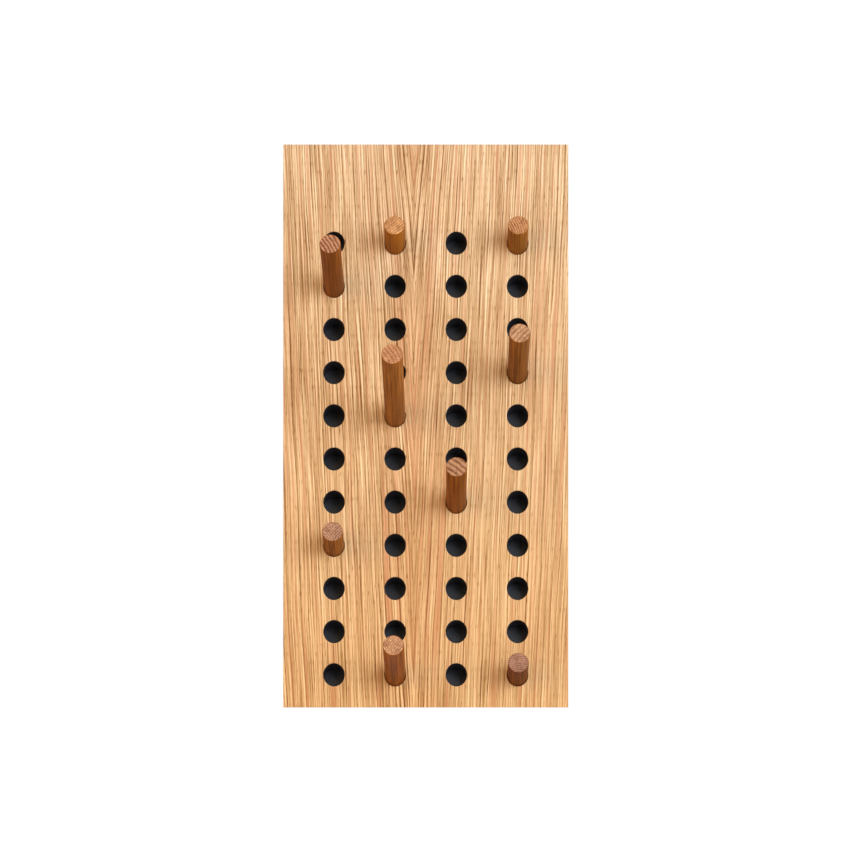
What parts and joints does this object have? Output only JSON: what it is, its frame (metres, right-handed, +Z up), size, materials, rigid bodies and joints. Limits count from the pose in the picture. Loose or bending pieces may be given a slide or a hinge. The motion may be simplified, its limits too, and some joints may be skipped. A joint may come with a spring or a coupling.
{
  "type": "wall peg rack",
  "caption": "Upright oak-faced wall board with a grid of tilted holes and loose round oak pegs of three lengths for hanging coats.",
  "frame": {"origin": "centre of the board's back, on the wall plane", "axes": "+X to the right as seen from the front, +Y into the wall, +Z up; the front faces -Y"},
  "size_m": [0.3644, 0.2075, 0.72],
  "materials": {
    "oak_veneer": "satin",
    "smoked_oak": "satin",
    "black_fibreboard": "matte",
    "zinc_steel": "satin",
    "black_steel": "satin"
  },
  "bodies": {
    "board": {"front_veneer": "oak_veneer", "core_board": "black_fibreboard", "back_panel": "black_fibreboard", "edge_strip_left": "oak_veneer", "edge_strip_right": "oak_veneer", "edge_strip_top": "oak_veneer", "edge_strip_bottom": "oak_veneer", "keyhole_hanger_left": "zinc_steel", "keyhole_hanger_right": "zinc_steel", "hanger_screw_left_1": "zinc_steel", "hanger_screw_left_2": "zinc_steel", "hanger_screw_right_1": "zinc_steel", "hanger_screw_right_2": "zinc_steel", "panel_screw_1": "black_steel", "panel_screw_2": "black_steel", "panel_screw_3": "black_steel", "panel_screw_4": "black_steel", "panel_screw_5": "black_steel", "panel_screw_6": "black_steel", "panel_screw_7": "black_steel", "panel_screw_8": "black_steel", "panel_screw_9": "black_steel", "panel_screw_10": "black_steel"},
    "peg_short_1": {"peg_short_1": "smoked_oak"},
    "peg_short_2": {"peg_short_2": "smoked_oak"},
    "peg_medium_1": {"peg_medium_1": "smoked_oak"},
    "peg_medium_2": {"peg_medium_2": "smoked_oak"},
    "peg_long_1": {"peg_long_1": "smoked_oak"},
    "peg_medium_3": {"peg_medium_3": "smoked_oak"},
    "peg_short_3": {"peg_short_3": "smoked_oak"},
    "peg_medium_4": {"peg_medium_4": "smoked_oak"},
    "peg_short_4": {"peg_short_4": "smoked_oak"}
  },
  "joints": [
    {"name": "peg_short_1_slide", "type": "slide", "parent": "board", "child": "peg_short_1", "axis": [0, -0.9205, 0.3907], "range_m": [0, 0.035]},
    {"name": "peg_short_2_slide", "type": "slide", "parent": "board", "child": "peg_short_2", "axis": [0, -0.9205, 0.3907], "range_m": [0, 0.035]},
    {"name": "peg_medium_1_slide", "type": "slide", "parent": "board", "child": "peg_medium_1", "axis": [0, -0.9205, 0.3907], "range_m": [0, 0.035]},
    {"name": "peg_medium_2_slide", "type": "slide", "parent": "board", "child": "peg_medium_2", "axis": [0, -0.9205, 0.3907], "range_m": [0, 0.035]},
    {"name": "peg_long_1_slide", "type": "slide", "parent": "board", "child": "peg_long_1", "axis": [0, -0.9205, 0.3907], "range_m": [0, 0.035]},
    {"name": "peg_medium_3_slide", "type": "slide", "parent": "board", "child": "peg_medium_3", "axis": [0, -0.9205, 0.3907], "range_m": [0, 0.035]},
    {"name": "peg_short_3_slide", "type": "slide", "parent": "board", "child": "peg_short_3", "axis": [0, -0.9205, 0.3907], "range_m": [0, 0.035]},
    {"name": "peg_medium_4_slide", "type": "slide", "parent": "board", "child": "peg_medium_4", "axis": [0, -0.9205, 0.3907], "range_m": [0, 0.035]},
    {"name": "peg_short_4_slide", "type": "slide", "parent": "board", "child": "peg_short_4", "axis": [0, -0.9205, 0.3907], "range_m": [0, 0.035]}
  ]
}
